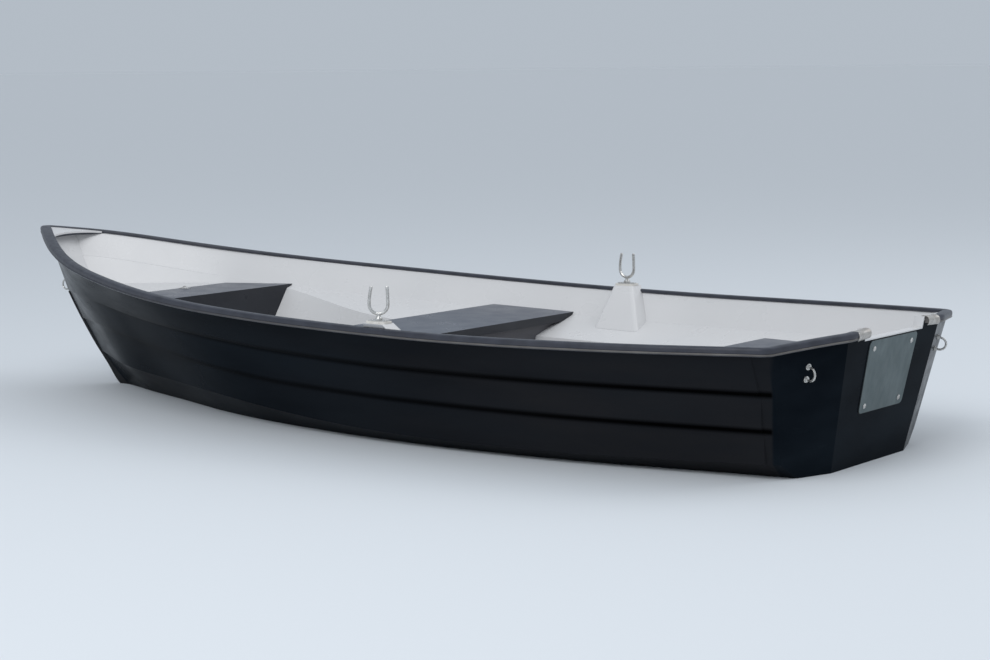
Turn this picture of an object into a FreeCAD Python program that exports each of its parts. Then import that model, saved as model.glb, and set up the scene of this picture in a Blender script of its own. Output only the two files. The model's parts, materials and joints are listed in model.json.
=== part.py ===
# A four-metre rowing boat: a lapped hull moulding, a liner moulding with seats, a rubber rub
# rail, and two oarlocks that turn in their sockets. Millimetres. The bow points along -X,
# starboard is +Y, and the origin lies on the waterline amidships.
import FreeCAD, Part

import math
import os
import re
import Sketcher
from collections import namedtuple
from FreeCAD import Placement, Rotation, Vector

doc = FreeCAD.newDocument("RowingBoat")
sheet = doc.addObject("Spreadsheet::Sheet", "Sizes")

# alias, value, meaning
sizes = (
    ("HullLength", 4000, "overall length that the table of offsets is drawn at"),
    ("HullBeam", 1560, "beam at the rail"),
    ("HullDepthScale", 1, "height factor of the hull lines"),
    ("HullWall", 6, "thickness of the hull moulding"),
    ("LapStep", 10, "how far each plank stands proud of the next"),
    ("LapEnd", 40, "where the laps stop, forward of the quarter panels"),
    ("LinerWall", 4, "thickness of the liner moulding"),
    ("BondGap", 2, "gap between hull and liner along the side"),
    ("BowGap", 15, "extra gap between hull and liner at the bow"),
    ("SeamGap", 0.3, "clearance between parts that are bonded face to face"),
    ("SeatGap", 0.5, "clearance between a seat and the liner"),
    ("RailTop", 16, "height of the rail's top above the hull's rim"),
    ("FlangeThick", 5, "thickness of the liner's flange on the rim"),
    ("RailHeight", 29, "height of the rub rail"),
    ("RailOut", 18, "how far the rail stands out from the sheer"),
    ("RailIn", 17, "how far the rail reaches inboard of the sheer"),
    ("RailInnerLeg", 18, "depth of the rail's inner leg"),
    ("LedgeDrop", 98, "depth of the side bench's outer edge below the rim"),
    ("BenchWidth", 215, "width of the side bench"),
    ("BenchSlope", 0.29, "fall of the side bench toward the middle"),
    ("FloorLevel", 16, "height of the cockpit sole"),
    ("TransomThick", 34, "thickness of the transom, skin to liner"),
    ("TransomFoot", 1940, "where the centre panel meets the waterline"),
    ("TransomRake", 0.211, "how far the centre panel leans aft per unit of height"),
    ("PanelHalf", 256, "half width of the centre panel at the waterline"),
    ("PanelSpread", 0.145, "how far the centre panel widens per unit of height"),
    ("QuarterAngle", 19.4, "angle of the quarter panels to the centre panel"),
    ("CrownRise", 26, "height of the transom's crown above its corners"),
    ("CrownHalf", 606, "half width of the crown"),
    ("NotchHalf", 205, "half width of the motor notch"),
    ("NotchFloor", 421, "height of the motor notch"),
    ("SaddleWall", 4, "thickness of the saddle in the notch"),
    ("KeelWidth", 24, "width of the stem and keel band"),
    ("KeelDepth", 22, "how far the band stands below the keel"),
    ("StemProud", 9, "how far the band stands out from the stem"),
    ("BandTop", 372, "height of the band's upper end"),
    ("ThwartFront", -70, "forward edge of the middle thwart"),
    ("ThwartWidth", 370, "fore and aft width of the middle thwart"),
    ("ThwartLip", 32, "height of the thwart's lip"),
    ("ThwartRise", 12, "how far the thwart stands above the bench's outer edge"),
    ("ThwartFall", 2.0, "angle at which the thwart falls toward the stern"),
    ("SeatWall", 5, "thickness of the seat mouldings"),
    ("SeatHalf", 900, "half width of the seat blanks before they are fitted to the liner"),
    ("BowSeatAft", -955, "aft edge of the bow seat"),
    ("BowSeatFront", -1225, "forward edge of the bow seat"),
    ("BowSeatTop", 400, "height of the bow seat"),
    ("SternSeatFront", 1210, "forward edge of the stern seat"),
    ("SternSeatTop", 296, "height of the stern seat"),
    ("SternSeatLength", 900, "length of the stern seat blank"),
    ("DeckThick", 7, "thickness of the bow deck"),
    ("DeckAft", -1758, "aft edge of the bow deck on the centreline"),
    ("DeckArc", 250, "radius of the bow deck's hollow aft edge"),
    ("PedestalInset", 14, "how far the thwart's pedestal stands in from its lip"),
    ("PedestalLean", 30, "how far the pedestal's faces close in toward the sole"),
    ("OarlockAlong", 516, "oarlock pins, forward and aft place"),
    ("OarlockInboard", 29, "oarlock pins, inboard of the sheer"),
    ("BlockFore", 44, "oarlock block's top, forward of the pin"),
    ("BlockAft", 42, "oarlock block's top, aft of the pin"),
    ("BlockIn", 33, "oarlock block's top, inboard of the pin"),
    ("BlockOut", 60, "oarlock block's blank, outboard of the pin"),
    ("BlockForeFlare", 16, "how far the forward face runs out at the foot"),
    ("BlockAftFlare", 129, "how far the aft face runs out at the foot"),
    ("BlockInFlare", 156, "how far the inboard face runs out at the foot"),
    ("BlockHeight", 200, "height of the oarlock block's blank"),
    ("BlockRound", 16, "radius of the oarlock block's corners"),
    ("BlockRise", 13, "height of the block's top above the rail"),
    ("PadLength", 86, "length of the pad under the socket"),
    ("PadWidth", 50, "width of the pad"),
    ("PadThick", 7, "thickness of the pad"),
    ("PadCorner", 14, "radius of the pad's corners"),
    ("SocketLength", 74, "length of the socket plate"),
    ("SocketWidth", 38, "width of the socket plate"),
    ("SocketThick", 3, "thickness of the socket plate"),
    ("SocketCorner", 14, "radius of the socket plate's corners"),
    ("PinDiameter", 12.5, "oarlock pin"),
    ("PinClearance", 0.5, "clearance all round the pin"),
    ("PinLength", 36, "length of the pin below the socket plate"),
    ("TubeWall", 2.5, "wall of the socket tube"),
    ("CollarRadius", 13, "radius of the oarlock's collar"),
    ("CollarThick", 6, "thickness of the collar"),
    ("NeckHeight", 10, "height of the neck above the collar"),
    ("NeckRadius", 6.5, "radius of the neck"),
    ("HornRod", 11, "diameter of the oarlock's horns"),
    ("HornBelly", 31.5, "radius of the horns' bowl on the rod's centre line"),
    ("ForeSweep", 230, "radius at which the forward horn curves in"),
    ("AftSweep", 900, "radius at which the aft horn curves in"),
    ("PortTurn", 32, "angle at which the port oarlock is left turned"),
    ("HornHeight", 114, "height of the horn tips above the socket plate"),
    ("PlateLow", 302, "width of the motor plate at its foot"),
    ("PlateHigh", 335, "width of the motor plate at its top"),
    ("PlateHeight", 243, "height of the motor plate up the transom"),
    ("PlateThick", 3, "thickness of the motor plate"),
    ("PlateCorner", 16, "radius of the plate's corners"),
    ("PlateFoot", 180, "height of the plate's foot above the waterline"),
    ("SleeveRadius", 18, "outer radius of the sleeves on the rail's ends"),
    ("SleeveWall", 3, "wall of the sleeves"),
    ("SleeveLength", 40, "length of the sleeves"),
    ("EyeRod", 7.5, "diameter of the mooring eyes' rod"),
    ("EyeSpan", 41, "distance between an eye's legs"),
    ("EyeReach", 38, "how far an eye stands off the hull"),
    ("SternEyeSide", 445, "stern eyes, distance from the centreline"),
    ("SternEyeHeight", 350, "stern eyes, height above the waterline"),
    ("BowEyeHeight", 402, "bow eye, height above the waterline"),
)


def enter(alias, value, meaning):
    enter.row += 1
    sheet.set("A%d" % enter.row, meaning)
    sheet.set("B%d" % enter.row, str(value))
    sheet.setAlias("B%d" % enter.row, alias)


enter.row = 0
for alias, value, meaning in sizes:
    enter(alias, value, meaning)
doc.recompute()


def size(alias):
    return float(sheet.get(alias))


# Table of offsets at 4000 x 1560, one row a station, bow first. A station is a surface across the
# boat: its x is base + rake * z + curl * z * z. Each y, z pair is a point of the skin.
Station = namedtuple("Station", "base rake curl keel bilge chine_y chine_z low_y low_z high_y high_z sheer_y sheer_z")
offsets = (
    Station(-1455, -1.031, 0.000494, -20, 8, 12, 130, 12, 262, 12, 375, 12, 640),
    Station(-1370, -0.60, 0, -42, 26, 84, 121, 116, 270, 146, 388, 150, 618),
    Station(-1250, -0.42, 0, -58, 66, 163, 112, 223, 275, 272, 393, 327, 574),
    Station(-950, -0.18, 0, -75, 168, 281, 98, 359, 240, 430, 360, 546, 513),
    Station(-550, -0.06, 0, -84, 312, 438, 91, 513, 213, 580, 334, 693, 474),
    Station(-100, 0.0, 0, -86, 410, 534, 64, 601, 185, 661, 307, 764, 448),
    Station(450, 0.0, 0, -86, 452, 584, 40, 643, 172, 696, 288, 786, 431),
    Station(820, 0.0, 0, -84, 452, 583, 37, 640, 167, 692, 284, 784, 426),
    Station(1150, 0.10, 0, -76, 434, 564, 38, 620, 164, 670, 283, 759, 428),
    Station(1473, 0.20, 0, -62, 402, 520, 43, 572, 162, 620, 283, 712, 433),
    Station(1966, 0.211, 0, -40, 352, 457, 53, 496, 161, 538, 284, 590, 441),
)
along = size("HullLength") / 4000.0
across = size("HullBeam") / 1560.0
upright = size("HullDepthScale")


def scaled(row):
    out = {}
    for name, value in row._asdict().items():
        if name == "base":
            out[name] = value * along
        elif name == "rake":
            out[name] = value * along / upright
        elif name == "curl":
            out[name] = value * along / upright ** 2
        elif name in ("keel", "chine_z", "low_z", "high_z", "sheer_z"):
            out[name] = value * upright
        else:
            out[name] = value * across
    return Station(**out)


stations = [scaled(row) for row in offsets]
above = 80.0


def blend(one, two, share):
    return Station(*[a + (b - a) * share for a, b in zip(one, two)])


def place(station, y, z):
    return Vector(station.base + station.rake * z + station.curl * z * z, y, z)


def rim(station):
    return station.sheer_z - size("RailTop")


def skin(station):
    # the skin's knuckles from above the rim down to the keel, starboard half, as (y, z)
    flare = (station.sheer_y - station.high_y) / (rim(station) - station.high_z)
    return [
        (station.sheer_y + flare * above, rim(station) + above),
        (station.high_y, station.high_z),
        (station.low_y, station.low_z),
        (station.chine_y, station.chine_z),
        (station.bilge, station.keel / 2),
        (0.0, station.keel),
    ]


def lapped(station):
    # the same line with each plank's lower edge standing proud
    top, high, low, chine, bilge, keel = skin(station)
    step = min(size("LapStep"), 0.4 * station.chine_y)
    points = [top]
    for y, z in (high, low, chine):
        points += [(y + step, z), (y, z - 2)]
    return points + [bilge, keel]


def inset(points, wall):
    # moves each side of an open outline inwards and meets the neighbours again
    moved = []
    for (y1, z1), (y2, z2) in zip(points, points[1:]):
        length = math.hypot(y2 - y1, z2 - z1)
        ny, nz = (z2 - z1) / length, -(y2 - y1) / length
        moved.append(((y1 + ny * wall, z1 + nz * wall), (y2 - y1, z2 - z1)))
    corners = []
    (y, z), (dy, dz) = moved[0]
    corners.append((y + dy * (points[0][1] - z) / dz, points[0][1]))
    for ((y1, z1), (dy1, dz1)), ((y2, z2), (dy2, dz2)) in zip(moved, moved[1:]):
        cross = dy1 * dz2 - dz1 * dy2
        # two sides in one line meet where the second begins
        straight = abs(cross) < 1e-6 * math.hypot(dy1, dz1) * math.hypot(dy2, dz2)
        share = 1.0 if straight else ((y2 - y1) * dz2 - (z2 - z1) * dy2) / cross
        corners.append((y1 + dy1 * share, z1 + dz1 * share))
    (y, z), (dy, dz) = moved[-1]
    corners.append((0.0, z - dz * y / dy))
    return corners


def curve(points, stops):
    line = Part.BSplineCurve()
    line.interpolate(Points=points, Parameters=stops)
    return line.toShape()


def closed(points):
    return Part.Face(Part.makePolygon(points + points[:1]))


def loft(rows, half):
    # a solid whose faces run from bow to stern between knuckle lines; the last point of each
    # half outline lies on the centreline
    stops = [row.base + 200 * row.rake for row in rows]
    outlines = [half(row) for row in rows]
    count = len(outlines[0])
    rings = []
    for row, outline in zip(rows, outlines):
        ring = [place(row, y, z) for y, z in outline]
        rings.append(ring + [Vector(p.x, -p.y, p.z) for p in reversed(ring[:-1])])
    lines = [curve([ring[n] for ring in rings], stops) for n in range(2 * count - 1)]
    faces = [Part.makeRuledSurface(one, two) for one, two in zip(lines, lines[1:] + lines[:1])]
    bow = rings[0]
    for n in range(count - 2):
        faces.append(closed([bow[n], bow[n + 1], bow[-2 - n], bow[-1 - n]]))
    faces.append(closed([bow[count - 2], bow[count - 1], bow[count]]))
    faces.append(closed(rings[-1]))
    solid = Part.makeSolid(Part.makeShell(faces))
    if solid.Volume < 0:
        solid.reverse()
    return solid


def beyond(point, normal, shift=0.0):
    # a large block on the far side of a plane
    reach = size("HullLength")
    block = Part.makeBox(reach, 2 * reach, 2 * reach, Vector(shift, -reach, -reach))
    block.Placement = Placement(point, Rotation(Vector(1, 0, 0), normal))
    return block


foot = size("TransomFoot") * along
rake = size("TransomRake") * along / upright
spread = size("PanelSpread") * across / upright
turn = math.tan(math.radians(size("QuarterAngle")))
aft = Vector(1, 0, -rake).normalize()
upward = Vector(rake, 0, 1).normalize()
panel_half = size("PanelHalf") * across
transom_planes = [(Vector(foot, 0, 0), aft)]
for side in (1, -1):
    quarter = Vector(1, side * turn, -rake - turn * spread).normalize()
    transom_planes.append((Vector(foot, side * panel_half, 0), quarter))


def end_at_transom(solid, thickness):
    for point, normal in transom_planes:
        solid = solid.cut(beyond(point, normal, -thickness))
    return solid


side_depth = size("HullWall") + size("BondGap") + size("LinerWall")


def side_at(station, z, wall):
    # the half breadth inside the skin at one height
    line = inset(skin(station), wall)
    for (y1, z1), (y2, z2) in zip(line, line[1:]):
        if z2 <= z <= z1:
            return y1 + (y2 - y1) * (z1 - z) / (z1 - z2)
    return line[0][0]


def cockpit_line(station):
    # inside of the liner: side wall, sloping bench, footwell wall and sole
    bow_share = max(0.0, 1 - station.sheer_y / (600.0 * across))
    depth = side_depth + size("BowGap") * bow_share
    ledge = rim(station) - size("LedgeDrop")
    bench_share = min(1.0, max(0.06, (station.sheer_y / across - 540.0) / 200.0))
    width = size("BenchWidth") * bench_share * across * (1 - 0.8 * bow_share)
    floor = max(size("FloorLevel"), station.keel + 62)
    top = side_at(station, rim(station) + above, depth)
    ledge_out = side_at(station, ledge, depth)
    ledge_in = ledge_out - width
    fall = size("BenchSlope") * width
    low = min(side_at(station, floor, depth) - 20 * (1 - bow_share), ledge_in - 30 * (1 - bow_share))
    low = max(low, 6.0)
    return [(top, rim(station) + above), (ledge_out, ledge), (ledge_in, ledge - fall), (low, floor), (0.0, floor - 1)]


bow_end = [blend(stations[0], stations[1], 0.12)] + stations[1:]
pan_end = [blend(stations[0], stations[1], 0.48)] + stations[1:]
well_end = [blend(stations[0], stations[1], 0.55)] + stations[1:]
wide = 2 * size("HullBeam")
crown_low = rim(stations[-1])


def crown(y):
    return crown_low + size("CrownRise") * (1 - (y / (size("CrownHalf") * across)) ** 2)


def over_sheer(rise):
    # everything above the rim line lifted by some height; the line crowns over the transom
    points = [place(row, 0, rim(row)) for row in stations]
    points = [points[0] * 2 - points[1]] + points
    points.append(points[-1] + Vector(200 * along, 0, 0))
    stops = [p.x for p in points]
    high = points[0].z + 3 * above
    corners = [points[-1], Vector(points[-1].x, 0, high), Vector(points[0].x, 0, high), points[0]]
    edges = [curve(points, stops)] + [Part.makeLine(a, b) for a, b in zip(corners, corners[1:])]
    block = Part.Face(Part.Wire(edges)).extrude(Vector(0, 2 * wide, 0))
    block.translate(Vector(0, -wide, 0))
    half = size("CrownHalf") * across
    start = foot - 70
    left, right = Vector(start, -half, crown_low), Vector(start, half, crown_low)
    top = Vector(start, 0, crown(0))
    low = Vector(0, 0, -above)
    rim_edges = [Part.Arc(left, top, right).toShape()]
    rim_edges += [Part.makeLine(a, b) for a, b in ((right, right + low), (right + low, left + low), (left + low, left))]
    hump = Part.Face(Part.Wire(rim_edges)).extrude(Vector(600, 0, 0))
    block = block.cut(hump)
    block.translate(Vector(0, 0, rise))
    return block


made = []


def keep(label, thing):
    thing.Label = label
    made.append(thing)
    return thing


def shape_in(name, shape):
    thing = doc.addObject("Part::Feature", name)
    thing.Shape = shape
    return thing


def bind(thing, formulas):
    # binds properties to the sheet; a word with a capital is one of the sheet's names
    for prop, formula in formulas.items():
        thing.setExpression(prop, re.sub(r"[A-Z]\w+", r"Sizes.\g<0>", formula))
    return thing


def pair(kind, name, one, two):
    thing = doc.addObject("Part::" + kind, name)
    thing.Base = one
    thing.Tool = two
    return thing


def chain(kind, name, first, *rest):
    for number, other in enumerate(rest):
        first = pair(kind, "%s_%s%d" % (name, kind.lower(), number), first, other)
    doc.recompute()
    return first


def box(name, x, y, z, length, width, height):
    thing = doc.addObject("Part::Box", name)
    start = {"Placement.Base.x": x, "Placement.Base.y": y, "Placement.Base.z": z}
    return bind(thing, dict(start, Length=length, Width=width, Height=height))


def round_bar(name, radius, height, z, x="OarlockAlong", y="OarlockSide"):
    thing = doc.addObject("Part::Cylinder", name)
    start = {"Placement.Base.x": x, "Placement.Base.y": y, "Placement.Base.z": z}
    return bind(thing, dict(start, Radius=radius, Height=height))


def mirrored(name, source):
    thing = doc.addObject("Part::Mirroring", name)
    thing.Source = source
    thing.Normal = Vector(0, 1, 0)
    doc.recompute()
    return thing


def both(name, thing):
    keep(name + "_starboard", thing)
    keep(name + "_port", mirrored(name + "_mirror", thing))


# hull and liner mouldings
over_rim = over_sheer(0)
over_seam = over_sheer(size("SeamGap"))
over_flange = over_sheer(size("FlangeThick"))
tall = loft(stations, lapped)
smooth = loft(stations, lambda row: inset(skin(row), -0.8))
for point, normal in transom_planes[1:]:
    tall = tall.cut(beyond(point, normal, -size("LapEnd")).cut(smooth))
tall = end_at_transom(tall, 0)
inner = end_at_transom(loft(bow_end, lambda row: inset(skin(row), size("HullWall"))), size("HullWall"))
cockpit = end_at_transom(loft(well_end, cockpit_line), size("TransomThick"))
well = end_at_transom(loft(well_end, lambda row: inset(cockpit_line(row), size("SeatGap"))),
                      size("TransomThick") + size("SeatGap"))
pan = end_at_transom(loft(pan_end, lambda row: inset(cockpit_line(row), -size("LinerWall"))),
                     size("TransomThick") - size("LinerWall"))
body = tall.cut(over_flange).cut(cockpit)
well_shape = shape_in("cockpit_fit", well)
notch = box("notch", "TransomFoot - 100", "-NotchHalf", "NotchFloor", "500", "2 * NotchHalf", "400")
outer = shape_in("hull_outside", tall.cut(over_rim))
hull = chain("Cut", "hull", outer, shape_in("hull_inside", inner), notch)
keep("hull_shell", hull)
liner_top = tall.common(over_seam).cut(over_flange)
blank = shape_in("liner_blank", pan.cut(over_flange).fuse(liner_top))
platform = box("bow_platform", "-HullLength", "-SeatHalf", "BowSeatTop - LinerWall",
               "HullLength + BowSeatFront - SeatGap", "2 * SeatHalf", "LinerWall")
space = chain("Cut", "cockpit_space", shape_in("cockpit", cockpit), platform)
keep("liner", chain("Cut", "liner", blank, space, notch))

# stem and keel band: a flat profile along the centreline, cut to the hull
stem = stations[0]
band_line = []
for share in (1.0, 0.8, 0.6, 0.4, 0.2, 0.02):
    z = size("BandTop") * upright * share
    lean = stem.rake + 2 * stem.curl * z
    band_line.append((place(stem, 0, z), Vector(-1, 0, lean).normalize()))
for row in stations[1:-1]:
    band_line.append((place(row, 0, row.keel), Vector(0, 0, -1)))
outside = []
for number, (point, out) in enumerate(band_line):
    share = min(1.0, number / 7.0)
    outside.append(point + out * (size("StemProud") + (size("KeelDepth") - size("StemProud")) * share))
inside = [point - out * 30 for point, out in band_line]
last = Vector((foot - 160), 0, stations[-1].keel)
outside.append(last + Vector(0, 0, -size("KeelDepth")))
inside.append(last + Vector(0, 0, 30))
stops = list(range(len(outside)))
band_edges = [
    curve(outside, stops), curve(inside, stops),
    Part.makeLine(outside[0], inside[0]), Part.makeLine(outside[-1], inside[-1]),
]
band = Part.Face(Part.Wire(Part.__sortEdges__(band_edges))).extrude(Vector(0, size("KeelWidth"), 0))
band.translate(Vector(0, -size("KeelWidth") / 2, 0))
band = band.cut(tall)
keep("stem_and_keel", shape_in("stem_band", band))


# rub rail: one D profile led along the sheer and round the stern
def rail_section(point, outward):
    out, inn = size("RailOut"), size("RailIn")
    low, leg = size("RailHeight"), size("RailInnerLeg")
    outline = [
        (-inn, -leg), (-inn, -5), (-inn + 4, -1), (-6, 0), (6, 0), (out - 5, -2), (out - 1, -7), (out, -13),
        (out - 1, -low + 7), (out - 5, -low + 1.5), (out - 9, -low), (-14, -low), (-13, -leg),
    ]
    points = [point + outward * q + Vector(0, 0, h) for q, h in outline]
    return Part.makePolygon(points + points[:1])


def level(x, y):
    return Vector(x, y, 0).normalize()


def sheer_at(x):
    # half breadth and height of the rail's top at one place along the boat
    points = [place(row, row.sheer_y, row.sheer_z) for row in stations]
    line = curve(points, [p.x for p in points]).Curve
    spot = line.value(min(max(x, points[0].x), points[-1].x))
    return spot.y, spot.z


nose = place(stem, 0, stem.sheer_z)
cheek = blend(stations[0], stations[1], 0.1)
rail_rows = [cheek] + stations[1:-1]
side_x = 1850 * along
side_y, side_z = sheer_at(side_x)
side_end = Vector(side_x, side_y, side_z)
path = [nose + Vector(-5, 0, 0)] + [place(row, row.sheer_y, row.sheer_z) for row in rail_rows] + [side_end]
sections = [rail_section(path[0], Vector(-1, 0, 0))]
for before, here, after in zip(path, path[1:], path[2:]):
    run = (after - before).normalize()
    sections.append(rail_section(here, level(-run.y, run.x)))
run = side_end - path[-2]
side_out = level(-run.y, run.x)
sections.append(rail_section(side_end, side_out))
side_rail = Part.makeLoft(sections, True, False)

rail_rise = size("RailTop")
quarter_z = crown_low + rail_rise
corner_y = panel_half + spread * quarter_z
top_x = foot + rake * quarter_z
turn_in = math.radians(size("QuarterAngle"))
quarter_out = level(math.cos(turn_in), math.sin(turn_in))
centre_corner = Vector(top_x, corner_y, quarter_z)
# where the side's line and the quarter panel's line cross in plan
quarter_run = Vector(-quarter_out.y, quarter_out.x, 0)
side_run = Vector(side_out.y, -side_out.x, 0)
gap = centre_corner - side_end
cross = side_run.x * quarter_run.y - side_run.y * quarter_run.x
share = (gap.x * quarter_run.y - gap.y * quarter_run.x) / cross
knuckle = side_end + side_run * share
knuckle.z = quarter_z
ease = 34
start = knuckle - side_run * ease
finish = knuckle - quarter_run * ease
bend = (start + finish) * 0.25 + knuckle * 0.5
mitre = (quarter_out + Vector(1, 0, 0)).normalize()


def on_crown(point):
    return Vector(point.x, point.y, crown(point.y) + rail_rise)


rail_stop = size("NotchHalf") + size("SleeveLength") + 1
stern_stops = [
    (side_end, side_out),
    (start, side_out),
    (bend, (side_out + quarter_out).normalize()),
    (on_crown(finish), quarter_out),
    (on_crown(centre_corner), mitre),
    (Vector(top_x + rake * 3, rail_stop, crown(rail_stop) + rail_rise), Vector(1, 0, 0)),
]
stern_rail = Part.makeLoft([rail_section(p, n) for p, n in stern_stops], True, True)
half_rail = side_rail.fuse(stern_rail)
rail = half_rail.fuse(half_rail.mirror(Vector(0, 0, 0), Vector(0, 1, 0))).cut(body)
keep("rub_rail", shape_in("rail", rail))

# sleeves that close the rail's ends, short tubes across the transom's top
enter("SleeveHeight", crown(size("NotchHalf")) + size("RailTop") - 5, "height of the sleeves' centre")
enter("SleeveAft", foot + rake * (crown(size("NotchHalf")) + 10), "fore and aft place of the sleeves")
body_shape = shape_in("moulding", body)
tubes = []
for name, radius in (("sleeve_outside", "SleeveRadius"), ("sleeve_bore", "SleeveRadius - SleeveWall")):
    tube = round_bar(name, radius, "SleeveLength", "SleeveHeight", "SleeveAft", "NotchHalf + SleeveLength + SeamGap")
    tube.Placement.Rotation = Rotation(Vector(1, 0, 0), 90)
    tubes.append(tube)
both("rail_end", chain("Cut", "sleeve", tubes[0], tubes[1], body_shape))

# white saddle in the motor notch
enter("SaddleTop", crown(size("NotchHalf")) + size("RailTop") - 2, "top of the saddle's return walls")
half = "NotchHalf - SeamGap"
saddle = box("saddle_blank", "TransomFoot", "SeamGap - NotchHalf", "NotchFloor + SeamGap", "400",
             "2 * (NotchHalf - SeamGap)", "SaddleTop - NotchFloor")
trough = box("saddle_trough", "TransomFoot - 1", "SeamGap - NotchHalf + SaddleWall",
             "NotchFloor + SeamGap + SaddleWall", "402", "2 * (NotchHalf - SeamGap - SaddleWall)", "400")
behind = shape_in("behind_transom", beyond(transom_planes[0][0], aft, 0))
ahead = shape_in("ahead_of_liner", beyond(transom_planes[0][0], aft, -size("TransomThick")))
channel = chain("Cut", "saddle", saddle, trough, behind)
keep("motor_notch", chain("Common", "saddle", channel, ahead))


# flat plates with rounded corners, each a sketch drawn from its foot and a pad
def plate_body(name, low, high, tall_by, thick, corner, where):
    body_object = doc.addObject("PartDesign::Body", name)
    sketch = body_object.newObject("Sketcher::SketchObject", name + "_outline")
    x1, x2, y2 = size(low) / 2, size(high) / 2, size(tall_by)
    points = [Vector(-x1, 0, 0), Vector(x1, 0, 0), Vector(x2, y2, 0), Vector(-x2, y2, 0)]
    for a, b in zip(points, points[1:] + points[:1]):
        sketch.addGeometry(Part.LineSegment(a, b), False)
    for n in range(4):
        sketch.addConstraint(Sketcher.Constraint("Coincident", n, 2, (n + 1) % 4, 1))
    formulas = (("-%s / 2" % low, "0"), ("%s / 2" % low, "0"), ("%s / 2" % high, tall_by), ("-%s / 2" % high, tall_by))
    for n, (point, (fx, fy)) in enumerate(zip(points, formulas)):
        for kind, value, formula in (("DistanceX", point.x, fx), ("DistanceY", point.y, fy)):
            if formula == "0":
                sketch.addConstraint(Sketcher.Constraint("PointOnObject", n, 1, -1))
                continue
            number = sketch.addConstraint(Sketcher.Constraint(kind, -1, 1, n, 1, value))
            bind(sketch, {"Constraints[%d]" % number: formula})
    pad = body_object.newObject("PartDesign::Pad", name + "_pad")
    pad.Profile = sketch
    bind(pad, {"Length": thick})
    doc.recompute()
    upright_edges = []
    for n, edge in enumerate(pad.Shape.Edges, 1):
        a, b = edge.Vertexes[0].Point, edge.Vertexes[-1].Point
        if abs(a.z - b.z) > 0.5 * size(thick):
            upright_edges.append("Edge%d" % n)
    fillet = body_object.newObject("PartDesign::Fillet", name + "_corners")
    fillet.Base = (pad, upright_edges)
    bind(fillet, {"Radius": corner})
    body_object.Placement = where
    doc.recompute()
    return body_object


plate_z = size("PlateFoot") * upright
plate_foot = Vector(foot + rake * plate_z, 0, plate_z) + aft * size("SeamGap")
lean_frame = Rotation(Vector(0, 1, 0), upward, aft, "XYZ")
keep("transom_plate", plate_body("motor_plate", "PlateLow", "PlateHigh", "PlateHeight", "PlateThick",
                                 "PlateCorner", Placement(plate_foot, lean_frame)))

# bow deck: a small plate on the flange inside the rail, hollowed along its aft edge
seam, deck_rise = size("SeamGap"), size("FlangeThick") + size("SeamGap")
inboard = size("RailIn") + size("SeatGap")


def deck_line(row):
    half_width = max(row.sheer_y - inboard, 3.0)
    return [(half_width, rim(row) + above), (half_width, rim(row) - 20), (0.0, rim(row) - 21)]


deck = loft(stations[:4], deck_line).common(over_sheer(deck_rise)).cut(over_sheer(deck_rise + size("DeckThick")))
deck_shape = shape_in("deck_blank", deck)
rail_shape = made[[thing.Label for thing in made].index("rub_rail")]
hollow = round_bar("deck_hollow", "DeckArc", "400", "400", "DeckAft * HullLength / 4000 + DeckArc", "0")
behind_deck = box("behind_deck", "DeckAft * HullLength / 4000 + 90", "-SeatHalf", "300", "2000", "2 * SeatHalf", "600")
keep("bow_deck", chain("Cut", "deck", deck_shape, hollow, behind_deck, rail_shape))


# seats: hollow mouldings fitted to the liner
def seat(name, x, length, top, open_end):
    low = "FloorLevel - 5"
    tall_by = "%s - FloorLevel + 5" % top
    blank = box(name + "_blank", x, "-SeatHalf", low, length, "2 * SeatHalf", tall_by)
    start = x if open_end == "fore" else x + " + SeatWall"
    under = box(name + "_under", start, "-SeatHalf", low, length + " - SeatWall", "2 * SeatHalf", tall_by + " - SeatWall")
    return chain("Common", name, chain("Cut", name, blank, under), well_shape)


keep("bow_seat", seat("bow_moulding", "BowSeatFront", "BowSeatAft - BowSeatFront", "BowSeatTop", "fore"))
keep("stern_seat", seat("stern_moulding", "SternSeatFront", "SternSeatLength", "SternSeatTop", "aft"))


def ledge_at(x):
    return sheer_at(x)[1] - size("RailTop") - size("LedgeDrop")


enter("ThwartTop", ledge_at(size("ThwartFront")) + size("ThwartRise"), "height of the thwart's forward edge")
tilt = Rotation(Vector(0, 1, 0), size("ThwartFall"))
thwart = box("thwart_blank", "ThwartFront", "-SeatHalf", "ThwartTop - ThwartLip", "ThwartWidth", "2 * SeatHalf", "ThwartLip")
under = box("thwart_under", "ThwartFront + SeatWall", "-SeatHalf", "ThwartTop - ThwartLip - SeatWall",
            "ThwartWidth - 2 * SeatWall", "2 * SeatHalf", "ThwartLip")
thwart.Placement.Rotation = tilt
under.Placement.Rotation = tilt
keep("middle_thwart", chain("Common", "thwart", chain("Cut", "thwart", thwart, under), well_shape))
enter("PedestalTop", ledge_at(size("ThwartFront")) + size("ThwartRise") - size("SeatWall") - size("SeatGap"),
      "height of the pedestal at the thwart's forward edge")


def pedestal(name, wall):
    # a tapered block across the boat; its own Y is up and its own Z is port
    thing = doc.addObject("Part::Wedge", name)
    rotation = Rotation(Vector(1, 0, 0), 90)
    thing.Placement = Placement(Vector(0, 0, 0), rotation)
    low, high = "FloorLevel - 5", "PedestalTop"
    fore, back = "ThwartFront + PedestalInset", "ThwartFront + ThwartWidth - PedestalInset"
    bind(thing, {
        "Ymin": low, "Ymax": high, "Zmin": "-SeatHalf", "Zmax": "SeatHalf", "Z2min": "-SeatHalf", "Z2max": "SeatHalf",
        "Xmin": "%s + PedestalLean + %s" % (fore, wall), "Xmax": "%s - PedestalLean - %s" % (back, wall),
        "X2min": "%s + %s" % (fore, wall), "X2max": "%s - %s" % (back, wall),
    })
    return thing


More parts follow.
